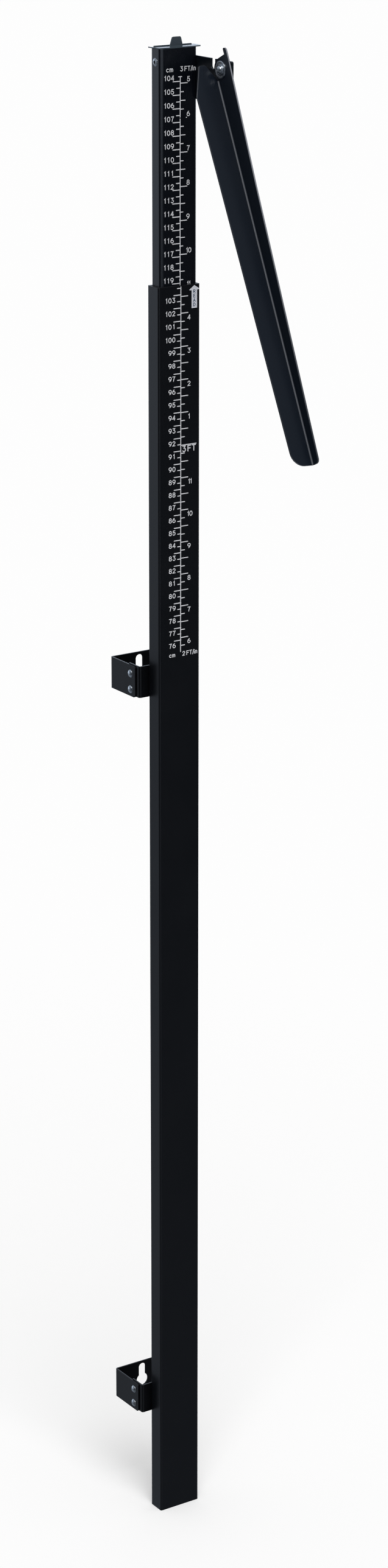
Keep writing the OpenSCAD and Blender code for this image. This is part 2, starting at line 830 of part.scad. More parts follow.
module headpiece_blade() {
    fold_len = blade_len - fold_top;
    fold_r = blade_bend_r + blade_t;
    color([0.07, 0.075, 0.095])
        at_pivot()
            difference() {
                union() {
                    plate_x(flange_left, blade_t)
                        flange_outline();
                    translate([0, blade_drop, 0])
                        rotate([90, 0, 0])
                            linear_extrude(blade_t)
                                measuring_outline();
                    translate([flange_left - blade_bend_r, blade_drop - fold_r, -blade_len])
                        difference() {
                            cube([blade_bend_r + eps, blade_bend_r + eps, fold_len]);
                            translate([0, 0, -eps])
                                cylinder(r = blade_bend_r, h = fold_len + 2 * eps);
                        }
                }
                translate([flange_left - eps, 0, 0])
                    bar_x(bush_d, blade_t + 2 * eps);
                translate([flange_x - fold_r, blade_drop - fold_r, -blade_len - eps])
                    difference() {
                        cube([fold_r + 1, fold_r + 1, fold_len]);
                        cylinder(r = fold_r, h = fold_len, $fn = 64);
                    }
            }
}

module pivot_bush() {
    color([0.75, 0.62, 0.35])
        at_pivot()
            translate([flange_left, 0, 0])
                difference() {
                    bar_x(bush_d, blade_t);
                    translate([-eps, 0, 0])
                        bar_x(pivot_d + 2 * pivot_clear, blade_t + 2 * eps);
                }
}

module upper_wall_bracket() { wall_bracket(lower_bracket_z + bracket_spacing); }
module upper_tube_bracket() { tube_bracket(lower_bracket_z + bracket_spacing); }
module upper_bracket_rivets() { bracket_rivet_pair(lower_bracket_z + bracket_spacing); }
module upper_tube_rivets() { tube_rivet_pair(lower_bracket_z + bracket_spacing); }
module lower_wall_bracket() { wall_bracket(lower_bracket_z); }
module lower_tube_bracket() { tube_bracket(lower_bracket_z); }
module lower_bracket_rivets() { bracket_rivet_pair(lower_bracket_z); }
module lower_tube_rivets() { tube_rivet_pair(lower_bracket_z); }

outer_tube();
bottom_plug();
plug_buffer();
rim_liner();
leaf_spring();
spring_rivet();
upper_wall_bracket();
upper_tube_bracket();
upper_bracket_rivets();
upper_tube_rivets();
lower_wall_bracket();
lower_tube_bracket();
lower_bracket_rivets();
lower_tube_rivets();
inner_tube();
lower_glide();
glide_pin();
top_cap();
arm_plate();
arm_rivet();
pivot_screw();
dished_washer();
friction_pad();
spring_washer();
lock_nut();
headpiece_blade();
pivot_bush();
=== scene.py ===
import math
import random

import bmesh
import bpy
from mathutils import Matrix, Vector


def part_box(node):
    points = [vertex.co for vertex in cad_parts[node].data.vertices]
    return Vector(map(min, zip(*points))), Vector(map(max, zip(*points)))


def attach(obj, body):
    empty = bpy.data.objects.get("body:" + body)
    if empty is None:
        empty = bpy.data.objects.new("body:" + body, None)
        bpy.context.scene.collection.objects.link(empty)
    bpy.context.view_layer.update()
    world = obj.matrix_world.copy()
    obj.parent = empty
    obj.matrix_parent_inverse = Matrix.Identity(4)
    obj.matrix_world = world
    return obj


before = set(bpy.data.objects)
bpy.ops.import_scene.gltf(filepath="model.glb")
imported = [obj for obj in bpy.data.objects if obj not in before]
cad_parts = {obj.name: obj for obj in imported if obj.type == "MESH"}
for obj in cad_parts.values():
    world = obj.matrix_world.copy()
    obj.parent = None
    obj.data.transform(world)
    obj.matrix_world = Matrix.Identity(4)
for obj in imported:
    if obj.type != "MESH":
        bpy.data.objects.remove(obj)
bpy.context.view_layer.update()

# Lengths in the print's layout are millimetres on the tube's face: across is X, up is Z.
MM = 0.001
CM = 10.0
INCH = 25.4

# Ink stands this far out of the paint and reaches this far into it. Strokes that cross lie on
# layers, each a little further out, and a scale's centre line lies on layer CROSSING.
INK_T = 0.024
INK_BACK = 0.01
LAYER_T = 0.004
CROSSING = 2
LINE_W = 0.70
PEN = 0.62
HEADING_PEN = 0.6
SIGN_H = 4.0
# At a sharp corner a stroke reaches out no further than half its width over this.
MITRE_LIMIT = 0.42
SAME_PLACE = 1e-6

# Both scales are printed this far to the left, and drift this much further along the tube.
PRINT_SHIFT = 0.4
OUTER_DRIFT = 0.17
INNER_DRIFT = 0.65
# A worn screen's unevenness in the length and width of the marks.
END_WANDER = 0.1
WIDTH_WANDER = 0.05
# How far left or right each mark reaches from the tube's middle.
OUTER_MARKS = {"cm": -4.66, "half_cm": -1.5, "inch": 8.74, "half_inch": 8.74, "quarter": 5.58}
INNER_MARKS = {"cm": -4.4, "half_cm": -1.2, "inch": 9.04, "half_inch": 7.14, "quarter": 5.66}
# The middles of the metric number's digits, from the last digit to the first.
DIGIT_COLUMNS = (-4.45, -7.85, -10.95)
# How far a two-figure inch number moves right, and a foot number down.
TWO_FIGURE_SHIFT = 0.9
FOOT_DROP = 0.1
# How far a number stands under its mark on the outer tube, and over it on the inner one.
OUTER_NUMBER_DROP = 5.6
INNER_NUMBER_RISE = 0.75
# The reading arrow's outline: X, and the drop from its tip.
ARROW_OUTLINE = [
    (13.65, 0.0), (18.05, 2.8), (18.05, 3.4), (16.15, 3.6), (16.15, 17.3),
    (11.2, 17.3), (11.2, 3.7), (9.2, 3.6), (9.2, 3.1),
]

# The inner tube's front falls back by this much over this width at each long edge, in metres.
CROWN_WIDTH = 0.004
CROWN_DROP = 0.00074


class Value:
    """One output of a shader node. Sums on it add Math nodes to the same tree."""

    def __init__(self, tree, output):
        self.tree = tree
        self.output = output

    def maths(self, operation, first, second=0.0):
        inputs = {"Value": first, "Value_001": second}
        return self.tree.node("ShaderNodeMath", {"operation": operation}, inputs)

    def __add__(self, other):
        return self.maths("ADD", self, other)

    def __sub__(self, other):
        return self.maths("SUBTRACT", self, other)

    def __mul__(self, other):
        return self.maths("MULTIPLY", self, other)

    def __truediv__(self, other):
        return self.maths("DIVIDE", self, other)

    def __radd__(self, other):
        return self.maths("ADD", other, self)

    def __rsub__(self, other):
        return self.maths("SUBTRACT", other, self)

    def __rmul__(self, other):
        return self.maths("MULTIPLY", other, self)

    def __abs__(self):
        return self.maths("ABSOLUTE", self)

    def step(self, low, high, start=0.0, end=1.0):
        """Goes smoothly from start to end while this value goes from low to high."""
        settings = {"interpolation_type": "SMOOTHSTEP"}
        inputs = {"Value": self, "From Min": low, "From Max": high, "To Min": start, "To Max": end}
        return self.tree.node("ShaderNodeMapRange", settings, inputs)


class Nodes:
    """A node tree with one method that adds any node to it."""

    def __init__(self, owner):
        owner.use_nodes = True
        self.tree = owner.node_tree
        self.tree.nodes.clear()

    def node(self, kind, settings=None, inputs=None, output=None):
        made = self.tree.nodes.new(kind)
        for name, setting in (settings or {}).items():
            if name == "stops":
                self.set_stops(made.color_ramp.elements, setting)
            else:
                setattr(made, name, setting)
        sockets = {socket.identifier: socket for socket in made.inputs}
        for name, value in (inputs or {}).items():
            if isinstance(value, Value):
                self.tree.links.new(value.output, sockets[name])
            else:
                sockets[name].default_value = value
        given = {socket.identifier: socket for socket in made.outputs}
        return Value(self, given[output] if output else next(iter(given.values()), None))

    def set_stops(self, elements, stops):
        while len(elements) < len(stops):
            elements.new(1.0)
        for element, (place, level) in zip(elements, stops):
            element.position = place
            element.color = (level, level, level, 1.0)

    def mix(self, share, first, second):
        """A colour between first and second."""
        inputs = {"Factor_Float": share, "A_Color": first, "B_Color": second}
        return self.node("ShaderNodeMix", {"data_type": "RGBA"}, inputs, "Result_Color")

    def place(self):
        """The point on the piece, in metres."""
        return self.node("ShaderNodeTexCoord", output="Object")

    def direction(self):
        """Which way the surface faces, without bumps."""
        return self.node("ShaderNodeNewGeometry", output="Normal")

    def part(self, vector, axis):
        """A vector's X, Y or Z."""
        return self.node("ShaderNodeSeparateXYZ", {}, {"Vector": vector}, axis)

    def noise(self, place, size, detail, stretch=(1.0, 1.0, 1.0)):
        """Clouds about as large as size in metres, drawn out by stretch."""
        scale = [1.0 / (size * length) for length in stretch]
        inputs = {"Vector": place, "Scale": scale}
        spread = self.node("ShaderNodeMapping", {"vector_type": "POINT"}, inputs)
        inputs = {"Vector": spread, "Scale": 1.0, "Detail": detail, "Roughness": 0.55}
        return self.node("ShaderNodeTexNoise", {}, inputs)

    def cells(self, place, size):
        """Distance from the nearest of many scattered points that are about size apart."""
        inputs = {"Vector": place, "Scale": 1.0 / size, "Randomness": 1.0}
        return self.node("ShaderNodeTexVoronoi", {"feature": "F1"}, inputs)

    def eased_edge(self, radius):
        """The surface's direction with its sharp edges rounded over by radius."""
        return self.node("ShaderNodeBevel", {"samples": 6}, {"Radius": radius})

    def edge(self, eased):
        """1 on an edge and 0 on a flat."""
        inputs = {"Vector": eased, "Vector_001": self.direction()}
        settings = {"operation": "DOT_PRODUCT"}
        along = self.node("ShaderNodeVectorMath", settings, inputs, "Value")
        return (1.0 - along).step(0.01, 0.16)

    def bump(self, height, depth, normal=None):
        inputs = {"Height": height, "Distance": depth, "Strength": 1.0}
        if normal:
            inputs["Normal"] = normal
        return self.node("ShaderNodeBump", {}, inputs)

    def surface(self, sockets):
        """Ends the tree in one surface with these socket values."""
        shader = self.node("ShaderNodeBsdfPrincipled", {}, sockets, "BSDF")
        self.node("ShaderNodeOutputMaterial", {}, {"Surface": shader})


def new_finish(name):
    material = bpy.data.materials.new(name)
    return material, Nodes(material)


def grey(level, blue=1.0):
    return (level, level * (1 + blue) / 2, level * blue, 1.0)


def paint(name, colour, wear_and_highlight_colour, roughness, edge_radius=0.0004, crowned=False, sheet_highlights=False):
    """Baked black enamel: orange peel, fine dust, faint rubbing marks, thin paint on the edges, and
    on the headpiece a painted highlight along its fold and its flange's cut edge.
    """
    material, nodes = new_finish(name)
    place = nodes.place()
    eased = nodes.eased_edge(edge_radius)
    edge = nodes.edge(eased)

    clouds = nodes.noise(place, 0.045, 3.0)
    grain = nodes.noise(place, 0.0011, 2.0)
    rubbing = nodes.noise(place, 0.0009, 2.0, (1.0, 1.0, 60.0)).step(0.6, 0.75)
    handled = nodes.noise(place, 0.09, 4.0).step(0.45, 0.7)
    dust = nodes.cells(place, 0.009).step(0.035, 0.02)

    wear_and_highlight = edge * clouds * 1.2
    # On the headpiece the edge wear is weakened and a painted highlight is added along the fold and
    # the flange's cut edge, in the light second colour.
    if sheet_highlights:
        wear_and_highlight = 0.15 * wear_and_highlight + rubbed_sheet(nodes, place)
    shade = nodes.mix(wear_and_highlight, colour, wear_and_highlight_colour)
    shade = nodes.mix(dust * handled * 0.5, shade, grey(0.05, 1.05))
    gloss = roughness + 0.12 * (clouds - 0.5) + 0.07 * rubbing * handled
    normal = nodes.bump(grain, 0.00003, eased)
    if crowned:
        normal = nodes.bump(front_crown(nodes, place), 1.0, normal)
    nodes.surface({
        "Base Color": shade,
        "Roughness": gloss,
        "Normal": normal,
        "IOR": 1.5,
    })
    return material


def rubbed_sheet(nodes, place):
    """Painted highlight on the headpiece: a light line along its fold, and on the flange's cut
    edge, brightest near the pivot.
    """
    low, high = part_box("headpiece_blade")
    sideways = nodes.part(nodes.direction(), "X")
    share = sideways * sideways
    fold = 4.0 * share * (1.0 - share)
    flange_back = high[0] - 0.0013
    flange_front = high[0] - 0.0009
    flange = nodes.part(place, "X").step(flange_back, flange_front)
    hub_z = high[2] - 0.02
    pivot_highlight_share = nodes.part(place, "Z").step(low[2], hub_z, 0.15, 1.0)
    cut_edge = flange * (1.0 - share.step(0.0, 0.3))
    # Painted highlight: the fold line, plus the cut edge growing brighter towards the pivot.
    return 0.4 * fold + cut_edge * pivot_highlight_share


def front_crown(nodes, place):
    """Height of the inner tube's front in metres: it falls away slightly at its long edges."""
    half_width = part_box("inner_tube")[1][0]
    off_middle = abs(nodes.part(place, "X"))
    return off_middle.step(half_width - CROWN_WIDTH, half_width, 0.0, -CROWN_DROP)


def tube_paint():
    colour = (0.0024, 0.0030, 0.0046, 1.0)
    return paint("tube_paint", colour, (0.012, 0.014, 0.018, 1.0), 0.3)


def inner_paint():
    colour = (0.0022, 0.0032, 0.0058, 1.0)
    return paint("inner_paint", colour, (0.010, 0.014, 0.020, 1.0), 0.26, crowned=True)


def headpiece_paint():
    colour = (0.0020, 0.0050, 0.0108, 1.0)
    # The light second colour is the painted highlight on the fold and the flange's cut edge; on the
    # other edges it is faint wear.
    return paint("headpiece_paint", colour, (0.24, 0.25, 0.28, 1.0), 0.34, 0.0006, sheet_highlights=True)


def arm_paint():
    colour = (0.0026, 0.0044, 0.0074, 1.0)
    return paint("arm_paint", colour, (0.008, 0.030, 0.034, 1.0), 0.33)


def cap_paint():
    colour = (0.041, 0.053, 0.066, 1.0)
    return paint("cap_paint", colour, (0.020, 0.060, 0.068, 1.0), 0.18)


def bracket_paint():
    colour = (0.0009, 0.0010, 0.0016, 1.0)
    return paint("bracket_paint", colour, (0.014, 0.015, 0.019, 1.0), 0.3)


def zinc_plate():
    """Bright zinc on rivets, screw, washer and nut, with a mottled sheen and a fine grain."""
    material, nodes = new_finish("zinc_plate")
    place = nodes.place()
    eased = nodes.eased_edge(0.0003)
    edge = nodes.edge(eased)
    mottle = nodes.noise(place, 0.0025, 4.0)
    grain = nodes.noise(place, 0.0003, 2.0)
    stain = nodes.noise(place, 0.006, 3.0).step(0.5, 0.72)
    shade = nodes.mix(mottle, (0.52, 0.56, 0.60, 1.0), (0.76, 0.79, 0.82, 1.0))
    shade = nodes.mix(stain * 0.5, shade, (0.26, 0.27, 0.27, 1.0))
    shade = nodes.mix(edge * 0.5, shade, (0.75, 0.77, 0.79, 1.0))
    nodes.surface({
        "Base Color": shade,
        "Metallic": 1.0,
        "Roughness": 0.2 + 0.2 * stain + 0.08 * mottle,
        "Normal": nodes.bump(grain, 0.000012, eased),
    })
    return material


def spring_steel():
    """Tempered strip with a blue-grey oxide and rolling lines."""
    material, nodes = new_finish("spring_steel")
    place = nodes.place()
    eased = nodes.eased_edge(0.0002)
    edge = nodes.edge(eased)
    oxide = nodes.noise(place, 0.007, 4.0)
    lines = nodes.noise(place, 0.0004, 2.0, (1.0, 1.0, 30.0))
    shade = nodes.mix(oxide, (0.13, 0.14, 0.17, 1.0), (0.30, 0.30, 0.31, 1.0))
    shade = nodes.mix(edge * 0.6, shade, (0.5, 0.5, 0.5, 1.0))
    nodes.surface({
        "Base Color": shade,
        "Metallic": 1.0,
        "Roughness": 0.32 + 0.16 * lines,
        "Normal": nodes.bump(lines, 0.00001, eased),
    })
    return material


def nylon(name, colour, deep_colour, roughness):
    """Moulded nylon, waxy, with a faint flow pattern and a spark-eroded skin."""
    material, nodes = new_finish(name)
    place = nodes.place()
    eased = nodes.eased_edge(0.0003)
    flow = nodes.noise(place, 0.012, 3.0, (1.0, 1.0, 2.5))
    skin = nodes.noise(place, 0.0004, 2.0)
    shade = nodes.mix(flow, colour, deep_colour)
    nodes.surface({
        "Base Color": shade,
        "Roughness": roughness + 0.12 * flow,
        "Normal": nodes.bump(skin, 0.00002, eased),
    })
    return material


def white_nylon():
    return nylon("white_nylon", (0.74, 0.73, 0.68, 1.0), (0.62, 0.60, 0.54, 1.0), 0.42)


def black_nylon():
    return nylon("black_nylon", (0.012, 0.012, 0.013, 1.0), (0.022, 0.022, 0.023, 1.0), 0.48)


def buffer_rubber():
    """Matt rubber with a slight bloom."""
    material, nodes = new_finish("buffer_rubber")
    place = nodes.place()
    bloom = nodes.noise(place, 0.005, 4.0).step(0.4, 0.75)
    skin = nodes.noise(place, 0.0006, 3.0)
    nodes.surface({
        "Base Color": nodes.mix(bloom, (0.016, 0.016, 0.016, 1.0), (0.045, 0.044, 0.042, 1.0)),
        "Roughness": 0.72 + 0.15 * bloom,
        "Normal": nodes.bump(skin, 0.00005, nodes.eased_edge(0.0004)),
    })
    return material


def bush_brass():
    """Turned brass, a little tarnished."""
    material, nodes = new_finish("bush_brass")
    place = nodes.place()
    tarnish = nodes.noise(place, 0.003, 4.0).step(0.4, 0.75)
    rings = nodes.noise(place, 0.0002, 1.0, (0.5, 8.0, 8.0))
    nodes.surface({
        "Base Color": nodes.mix(tarnish, (0.72, 0.53, 0.24, 1.0), (0.40, 0.27, 0.12, 1.0)),
        "Metallic": 1.0,
        "Roughness": 0.24 + 0.2 * tarnish,
        "Normal": nodes.bump(rings, 0.000008, nodes.eased_edge(0.0002)),
    })
    return material


def ink(name, colour, thin_colour, roughness):
    """Screen-printed ink: mesh-fine unevenness, thin places and a slightly soft sheen."""
    material, nodes = new_finish(name)
    place = nodes.place()
    cover = nodes.noise(place, 0.0016, 4.0)
    thin = nodes.noise(place, 0.008, 3.0).step(0.58, 0.8) * cover.step(0.4, 0.62)
    weave = nodes.noise(place, 0.00035, 2.0)
    nodes.surface({
        "Base Color": nodes.mix(thin * 0.35 + 0.16 * cover, colour, thin_colour),
        "Roughness": roughness + 0.1 * cover,
        "Normal": nodes.bump(weave, 0.000008),
    })
    return material


FINISHES = {
    "tube_paint": tube_paint,
    "inner_paint": inner_paint,
    "headpiece_paint": headpiece_paint,
    "arm_paint": arm_paint,
    "bracket_paint": bracket_paint,
    "cap_paint": cap_paint,
    "zinc_plate": zinc_plate,
    "spring_steel": spring_steel,
    "white_nylon": white_nylon,
    "black_nylon": black_nylon,
    "buffer_rubber": buffer_rubber,
    "bush_brass": bush_brass,
}


def dress_cad_parts():
    """Gives every CAD part the full finish of its own material slot."""
    made = {slot: finish() for slot, finish in FINISHES.items()}
    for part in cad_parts.values():
        for holder in part.material_slots:
            slot = holder.material.name.split(".")[0]
            holder.material = made[slot]


def arc(centre, radii, start, end, steps):
    """Points on an ellipse from start to end, in degrees anticlockwise from the right."""
    points = []
    for i in range(steps + 1):
        angle = math.radians(start + (end - start) * i / steps)
        across = centre[0] + radii[0] * math.cos(angle)
        points.append((across, centre[1] + radii[1] * math.sin(angle)))
    return points


def turned(strokes, width):
    """The strokes turned half round in their own box."""
    return [[(width - x, 1.0 - y) for x, y in stroke] for stroke in strokes]


def loop(centre, radii):
    """A whole ellipse as one closed stroke."""
    return arc(centre, radii, 0, 360, 24)


SIX = [
    loop((0.34, 0.31), (0.34, 0.31)),
    arc((0.62, 0.31), (0.62, 0.69), 180, 106, 7),
]
# Each sign is the strokes that a pen would make, one high and as wide as its number says.
# A stroke whose last point is its first is a closed loop.
SIGNS = {
    "0": (0.66, [loop((0.33, 0.5), (0.33, 0.5))]),
    "1": (0.18, [[(0.0, 0.8), (0.18, 1.0), (0.18, 0.0)]]),
    "2": (0.62, [
        arc((0.31, 0.7), (0.3, 0.3), 168, -18, 9) + [(0.33, 0.36), (0.02, 0.0), (0.62, 0.0)],
    ]),
    "3": (0.62, [
        [(0.05, 1.0), (0.57, 1.0), (0.3, 0.62)] + arc((0.31, 0.3), (0.31, 0.31), 78, -152, 11),
    ]),
    "4": (0.64, [[(0.5, 1.0), (0.0, 0.28), (0.64, 0.28)], [(0.5, 0.0), (0.5, 1.0)]]),
    "5": (0.62, [
        [(0.56, 1.0), (0.12, 1.0), (0.05, 0.52)] + arc((0.3, 0.32), (0.32, 0.32), 128, -150, 12),
    ]),
    "6": (0.68, SIX),
    "7": (0.58, [[(0.0, 1.0), (0.58, 1.0), (0.42, 0.72), (0.28, 0.38), (0.2, 0.0)]]),
    "8": (0.64, [loop((0.32, 0.76), (0.27, 0.24)), loop((0.32, 0.27), (0.32, 0.27))]),
    "9": (0.68, turned(SIX, 0.68)),
    "c": (0.8, [arc((0.46, 0.5), (0.46, 0.5), 48, 312, 14)]),
    "m": (1.16, [
        [(0.0, 0.0), (0.0, 1.0)],
        [(0.0, 0.6)] + arc((0.29, 0.64), (0.29, 0.36), 160, 0, 7) + [(0.58, 0.0)],
        [(0.58, 0.6)] + arc((0.87, 0.64), (0.29, 0.36), 160, 0, 7) + [(1.16, 0.0)],
    ]),
    "n": (0.62, [
        [(0.0, 0.0), (0.0, 1.0)],
        [(0.0, 0.6)] + arc((0.31, 0.64), (0.31, 0.36), 160, 0, 7) + [(0.62, 0.0)],
    ]),
    "i": (0.0, [[(0.0, 0.0), (0.0, 0.62)], [(0.0, 0.92), (0.0, 0.96)]]),
    "/": (0.34, [[(0.0, -0.08), (0.34, 1.08)]]),
    "F": (0.58, [[(0.0, 0.0), (0.0, 1.0), (0.58, 1.0)], [(0.0, 0.52), (0.5, 0.52)]]),
    "T": (0.7, [[(0.0, 1.0), (0.7, 1.0)], [(0.35, 1.0), (0.35, 0.0)]]),
    "R": (0.66, [
        [(0.0, 0.0), (0.0, 1.0), (0.36, 1.0)]
        + arc((0.36, 0.74), (0.28, 0.26), 70, -90, 7) + [(0.0, 0.48)],
        [(0.34, 0.48), (0.66, 0.0)],
    ]),
    "E": (0.6, [[(0.6, 1.0), (0.0, 1.0), (0.0, 0.0), (0.6, 0.0)], [(0.0, 0.52), (0.52, 0.52)]]),
    "A": (0.76, [[(0.0, 0.0), (0.38, 1.0), (0.76, 0.0)], [(0.13, 0.34), (0.63, 0.34)]]),
    "D": (0.68, [
        [(0.0, 0.0), (0.0, 1.0), (0.26, 1.0)]
        + arc((0.26, 0.5), (0.42, 0.5), 75, -75, 9) + [(0.26, 0.0), (0.0, 0.0)],
    ]),
}


class Print:
    """Raised ink on a flat face that looks towards -Y, gathered into one piece."""

    def __init__(self, face_y, thickness, drift=None):
        self.mesh = bmesh.new()
        self.face_y = face_y
        self.thickness = thickness
        self.drift = drift or (lambda z: 0.0)
        self.layer = 0

    def corner(self, x, z):
        """The front and back point at one place. A higher layer stands further out."""
        front_y = self.face_y - (self.thickness + LAYER_T * self.layer) * MM
        back_y = self.face_y + INK_BACK * MM
        x += self.drift(z)
        return [self.mesh.verts.new((x * MM, y, z * MM)) for y in (front_y, back_y)]

    def shape(self, outline):
        """A filled outline."""
        pairs = [self.corner(x, z) for x, z in outline]
        self.mesh.faces.new([front for front, back in pairs])
        self.mesh.faces.new([back for front, back in reversed(pairs)])
        for (front, back), (next_front, next_back) in zip(pairs, pairs[1:] + pairs[:1]):
            self.mesh.faces.new([front, back, next_back, next_front])

    def strip(self, points, width, layer=0):
        """A pen stroke along the points, with round ends unless it is closed."""
        self.layer = layer
        closed = math.dist(points[0], points[-1]) < SAME_PLACE
        path = points[:-1] if closed else points
        half = width / 2
        sections = [self.section(path, i, closed, half) for i in range(len(path))]
        if not closed:
            head = self.round_end(path[0], path[1], half)
            tail = self.round_end(path[-1], path[-2], half)[::-1]
            sections = head + sections + tail
        rings = [self.corner(*left) + self.corner(*right) for left, right in sections]
        if closed:
            rings.append(rings[0])
        order = (0, 2, 3, 1)
        for first, last in zip(rings, rings[1:]):
            for i, j in zip(order, order[1:] + order[:1]):
                self.mesh.faces.new([first[i], first[j], last[j], last[i]])
        if not closed:
            for end in (rings[0], rings[-1]):
                self.mesh.faces.new([end[i] for i in order])

    def section(self, path, i, closed, half):
        """The stroke's left and right edge at point i, mitred where the path turns."""
        before = path[i - 1] if closed or i > 0 else None
        after = path[(i + 1) % len(path)] if closed or i + 1 < len(path) else None
        x, z = path[i]
        sides = []
        for start, end in ((before, (x, z)), ((x, z), after)):
            if start and end:
                length = math.dist(start, end)
                sides.append(((start[1] - end[1]) / length, (end[0] - start[0]) / length))
        across = [sum(side[0] for side in sides), sum(side[1] for side in sides)]
        size = math.hypot(*across)
        across = [part / size for part in across]
        reach = half / max(MITRE_LIMIT, across[0] * sides[0][0] + across[1] * sides[0][1])
        left = (x + across[0] * reach, z + across[1] * reach)
        right = (x - across[0] * reach, z - across[1] * reach)
        return left, right

    def round_end(self, tip, inward, half):
        """Three sections that round the stroke off beyond its end point, outermost first."""
        length = math.dist(tip, inward)
        along = ((tip[0] - inward[0]) / length, (tip[1] - inward[1]) / length)
        side = (along[1], -along[0])
        sections = []
        for angle in (82, 58, 30):
            out = half * math.sin(math.radians(angle))
            wide = half * math.cos(math.radians(angle))
            x = tip[0] + along[0] * out
            z = tip[1] + along[1] * out
            left = (x + side[0] * wide, z + side[1] * wide)
            right = (x - side[0] * wide, z - side[1] * wide)
            sections.append((left, right))
        return sections

    def write(self, text, centre_x, low_z, height, pen):
        """Text centred on centre_x, its signs this high over all and standing on low_z."""
        tall = height - pen
        widths = [SIGNS[sign][0] * tall + pen for sign in text]
        gap = 0.8 * pen
        x = centre_x - (sum(widths) + gap * (len(text) - 1)) / 2
        for sign, width in zip(text, widths):
            self.sign(sign, x, low_z, height, pen)
            x += width + gap

    def sign(self, sign, left_x, low_z, height, pen):
        tall = height - pen
        for layer, stroke in enumerate(SIGNS[sign][1]):
            points = [(left_x + pen / 2 + x * tall, low_z + pen / 2 + z * tall) for x, z in stroke]
            self.strip(points, pen, layer)

    def finish(self, name, material, body):
        """Makes the piece and lets it ride on its body."""
        bmesh.ops.recalc_face_normals(self.mesh, faces=self.mesh.faces)
        mesh = bpy.data.meshes.new(name)
        self.mesh.to_mesh(mesh)
        self.mesh.free()
        mesh.materials.append(material)
        piece = bpy.data.objects.new(name, mesh)
        bpy.context.scene.collection.objects.link(piece)
        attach(piece, body)


uneven = random.Random(11)


def wander(size):
    """A small offset either way."""
    return uneven.uniform(-size, size)


def tick(ink_print, near_x, far_x, z):
    """One mark from the centre line out to far_x."""
    end = far_x + wander(END_WANDER)
    inset = LINE_W / 2 if far_x > near_x else -LINE_W / 2
    ink_print.strip([(near_x, z), (end - inset, z)], LINE_W + wander(WIDTH_WANDER))


def centimetres(ink_print, line_x, marks, first, last, mark_z):
    """The metric side: a mark at each centimetre and a short one at each half."""
    for half in range(2 * first, 2 * last + 1):
        far_x = marks["half_cm"] if half % 2 else marks["cm"]
        tick(ink_print, line_x, far_x, mark_z(half / 2 * CM))


def inches(ink_print, line_x, marks, first_quarter, last_quarter, mark_z, missing):
    """The inch side: a mark at each inch, half and quarter, but for the missing quarter."""
    for quarter in range(first_quarter, last_quarter + 1):
        if quarter == missing:
            continue
        kind = "inch" if quarter % 4 == 0 else "half_inch" if quarter % 2 == 0 else "quarter"
        tick(ink_print, line_x, marks[kind], mark_z(quarter / 4 * INCH))


def metric_number(ink_print, number, low_z):
    """A reading whose last digit always stands in the same column."""
    for column_x, digit in zip(DIGIT_COLUMNS, reversed(str(number))):
        width = SIGNS[digit][0] * (SIGN_H - PEN) + PEN
        ink_print.sign(digit, column_x - width / 2, low_z, SIGN_H, PEN)


def inch_number(ink_print, inch, centre_x, low_z):
    """Inches above the last whole foot, or the feet themselves."""
    feet, over = divmod(inch, 12)
    if over:
        shift = TWO_FIGURE_SHIFT if over > 9 else 0.0
        ink_print.write(str(over), centre_x + shift, low_z, SIGN_H, PEN)
    else:
        feet_mark(ink_print, feet, low_z - FOOT_DROP)


def feet_mark(ink_print, feet, low_z):
    """A foot number with its unit, larger than the rest."""
    height = 5.1
    pen = 0.8
    for sign, left_x in ((str(feet), 3.1), ("F", 8.0), ("T", 11.9)):
        ink_print.sign(sign, left_x, low_z, height, pen)


def unit_row(ink_print, feet, left_x, low_z):
    """Feet and inches heading: a number, FT/in."""
    capital_h = 3.7
    small_h = 2.8
    row = [
        (feet, 0.0, capital_h), ("F", 3.8, capital_h), ("T", 6.4, capital_h),
        ("/", 9.3, capital_h), ("i", 10.9, capital_h), ("n", 11.9, small_h),
    ]
    for sign, over, height in row:
        ink_print.sign(sign, left_x + over, low_z, height, HEADING_PEN)


def cm_heading(ink_print, c_x, m_x, low_z, height):
    """The metric unit."""
    ink_print.sign("c", c_x, low_z, height, HEADING_PEN)
    ink_print.sign("m", m_x, low_z, height, HEADING_PEN)


def outer_scale(white_ink):
    """The fixed scale on the outer tube, read upwards from the floor."""
    face_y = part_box("outer_tube")[0][1]
    top_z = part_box("outer_tube")[1][2] / MM
    scale_foot = 750.0
    scale_rise = 287.0
    line_x = 1.8
    inch_x = 9.4
    foot_line_z = 36 * INCH
    foot_line_end = 15.9
    heading_z = 747.0

    def drift(z):
        return -PRINT_SHIFT - OUTER_DRIFT * (z - scale_foot) / scale_rise

    ink_print = Print(face_y, INK_T, drift)
    line = [(1.5, scale_foot + 0.7), (line_x, 900.0), (2.05, top_z - 0.9)]
    ink_print.strip(line, LINE_W, CROSSING)
    centimetres(ink_print, line_x, OUTER_MARKS, 76, 103, lambda z: z)
    tick(ink_print, line_x, OUTER_MARKS["half_cm"], 103.5 * CM)
    inches(ink_print, line_x, OUTER_MARKS, 119, 162, lambda z: z, missing=144)
    for number in range(76, 104):
        metric_number(ink_print, number, number * CM - OUTER_NUMBER_DROP)
    for inch in range(30, 41):
        if inch % 12:
            inch_number(ink_print, inch, inch_x, inch * INCH - OUTER_NUMBER_DROP)
    ink_print.strip([(line_x, foot_line_z), (foot_line_end, foot_line_z)], LINE_W)
    feet_mark(ink_print, 3, foot_line_z - OUTER_NUMBER_DROP)
    cm_heading(ink_print, -9.1, -6.4, heading_z + 0.1, 2.6)
    unit_row(ink_print, "2", 3.2, heading_z)
    ink_print.finish("outer_scale_print", white_ink, "case")


